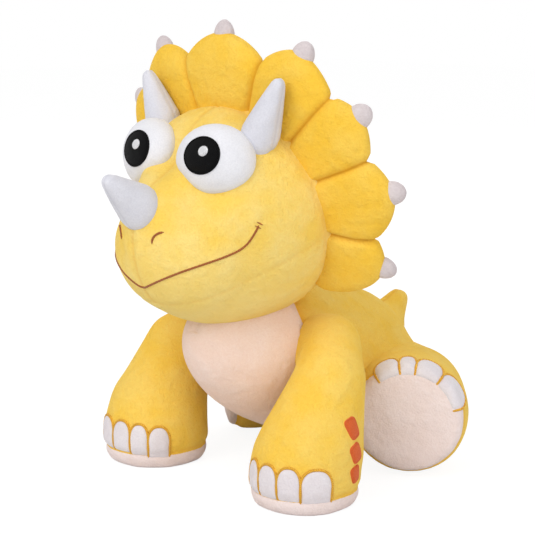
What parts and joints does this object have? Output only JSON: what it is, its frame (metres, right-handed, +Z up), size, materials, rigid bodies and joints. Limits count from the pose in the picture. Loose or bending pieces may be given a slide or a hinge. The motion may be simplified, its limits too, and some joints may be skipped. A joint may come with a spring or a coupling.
{
  "type": "stuffed dinosaur",
  "caption": "Sitting plush three-horned dinosaur with a scalloped neck frill, stuffed body, pale belly and soles, and legs, head and tail that flex at their seams.",
  "frame": {"origin": "on the floor under the widest part of the torso, on the flat of the seat, midway between the hind legs", "axes": "+Z up from the seat, -Y the way the animal faces, +X its own left"},
  "size_m": [0.2698, 0.287, 0.315],
  "materials": {
    "yellow_plush": "short-pile golden yellow plush",
    "orange_plush": "short-pile deeper yellow plush",
    "white_plush": "short-pile white plush",
    "pink_plush": "short-pile pale pink plush",
    "orange_felt": "sewn-on orange fabric",
    "black_thread": "dense black embroidery",
    "white_thread": "dense white embroidery",
    "brown_thread": "brown embroidery thread",
    "filling": "loose polyester filling",
    "seam_tape": "turned-in seam"
  },
  "bodies": {
    "torso": {"belly_panel": "pink_plush", "hip_seam_left": "seam_tape", "hip_seam_right": "seam_tape", "shoulder_seam_left": "seam_tape", "shoulder_seam_right": "seam_tape", "torso_panel_left": "yellow_plush", "torso_panel_right": "yellow_plush", "torso_stuffing": "filling"},
    "neck": {"neck_stuffing": "filling"},
    "head": {"brow_horn_left": "white_plush", "brow_horn_right": "white_plush", "chin_panel": "yellow_plush", "eye_left": "white_plush", "eye_right": "white_plush", "frill_back_panel": "orange_plush", "frill_front_panel": "orange_plush", "frill_stuffing": "filling", "frill_tip_1": "white_plush", "frill_tip_2": "white_plush", "frill_tip_3": "white_plush", "frill_tip_4": "white_plush", "frill_tip_5": "white_plush", "frill_tip_6": "white_plush", "frill_tip_7": "white_plush", "frill_tip_8": "white_plush", "frill_tip_9": "white_plush", "glint_left": "white_thread", "glint_right": "white_thread", "head_back_panel": "yellow_plush", "head_panel_left": "yellow_plush", "head_panel_right": "yellow_plush", "head_stuffing": "filling", "mouth_stitch": "brown_thread", "nose_horn": "white_plush", "nostril_stitch_left": "brown_thread", "nostril_stitch_right": "brown_thread", "pupil_left": "black_thread", "pupil_right": "black_thread"},
    "foreleg_left": {"foreleg_cover_left": "yellow_plush", "foreleg_scales_left": "orange_felt", "foreleg_sole_left": "pink_plush", "foreleg_stuffing_left": "filling", "foreleg_toenails_left": "white_plush"},
    "foreleg_right": {"foreleg_cover_right": "yellow_plush", "foreleg_scales_right": "orange_felt", "foreleg_sole_right": "pink_plush", "foreleg_stuffing_right": "filling", "foreleg_toenails_right": "white_plush"},
    "hindleg_left": {"hindleg_cover_left": "yellow_plush", "hindleg_sole_left": "pink_plush", "hindleg_stuffing_left": "filling", "hindleg_toenails_left": "white_plush"},
    "hindleg_right": {"hindleg_cover_right": "yellow_plush", "hindleg_sole_right": "pink_plush", "hindleg_stuffing_right": "filling", "hindleg_toenails_right": "white_plush"},
    "tail": {"tail_cover": "yellow_plush", "tail_stuffing": "filling"}
  },
  "joints": [
    {"name": "head_turn", "type": "hinge", "parent": "torso", "child": "neck", "pos_m": [0, -0.085, 0.13], "axis": [0, -0.2874, 0.9578], "range_deg": [-20, 20], "stiffness_Nm_per_rad": 1.5},
    {"name": "head_nod", "type": "hinge", "parent": "neck", "child": "head", "pos_m": [0, -0.085, 0.13], "axis": [1, 0, 0], "range_deg": [-8, 8], "stiffness_Nm_per_rad": 4},
    {"name": "foreleg_left_swing", "type": "hinge", "parent": "torso", "child": "foreleg_left", "pos_m": [0.042, -0.088, 0.08], "axis": [-1, 0, 0], "range_deg": [-5, 30], "stiffness_Nm_per_rad": 3},
    {"name": "foreleg_right_swing", "type": "hinge", "parent": "torso", "child": "foreleg_right", "pos_m": [-0.042, -0.088, 0.08], "axis": [-1, 0, 0], "range_deg": [-5, 30], "stiffness_Nm_per_rad": 3},
    {"name": "hindleg_left_swing", "type": "hinge", "parent": "torso", "child": "hindleg_left", "pos_m": [0.048, 0.015, 0.046], "axis": [-1, 0, 0], "range_deg": [0, 20], "stiffness_Nm_per_rad": 2},
    {"name": "hindleg_right_swing", "type": "hinge", "parent": "torso", "child": "hindleg_right", "pos_m": [-0.048, 0.015, 0.046], "axis": [-1, 0, 0], "range_deg": [0, 20], "stiffness_Nm_per_rad": 2},
    {"name": "tail_wag", "type": "hinge", "parent": "torso", "child": "tail", "pos_m": [0, 0.054, 0.084], "axis": [0, 0, 1], "range_deg": [-20, 20], "stiffness_Nm_per_rad": 0.1}
  ]
}
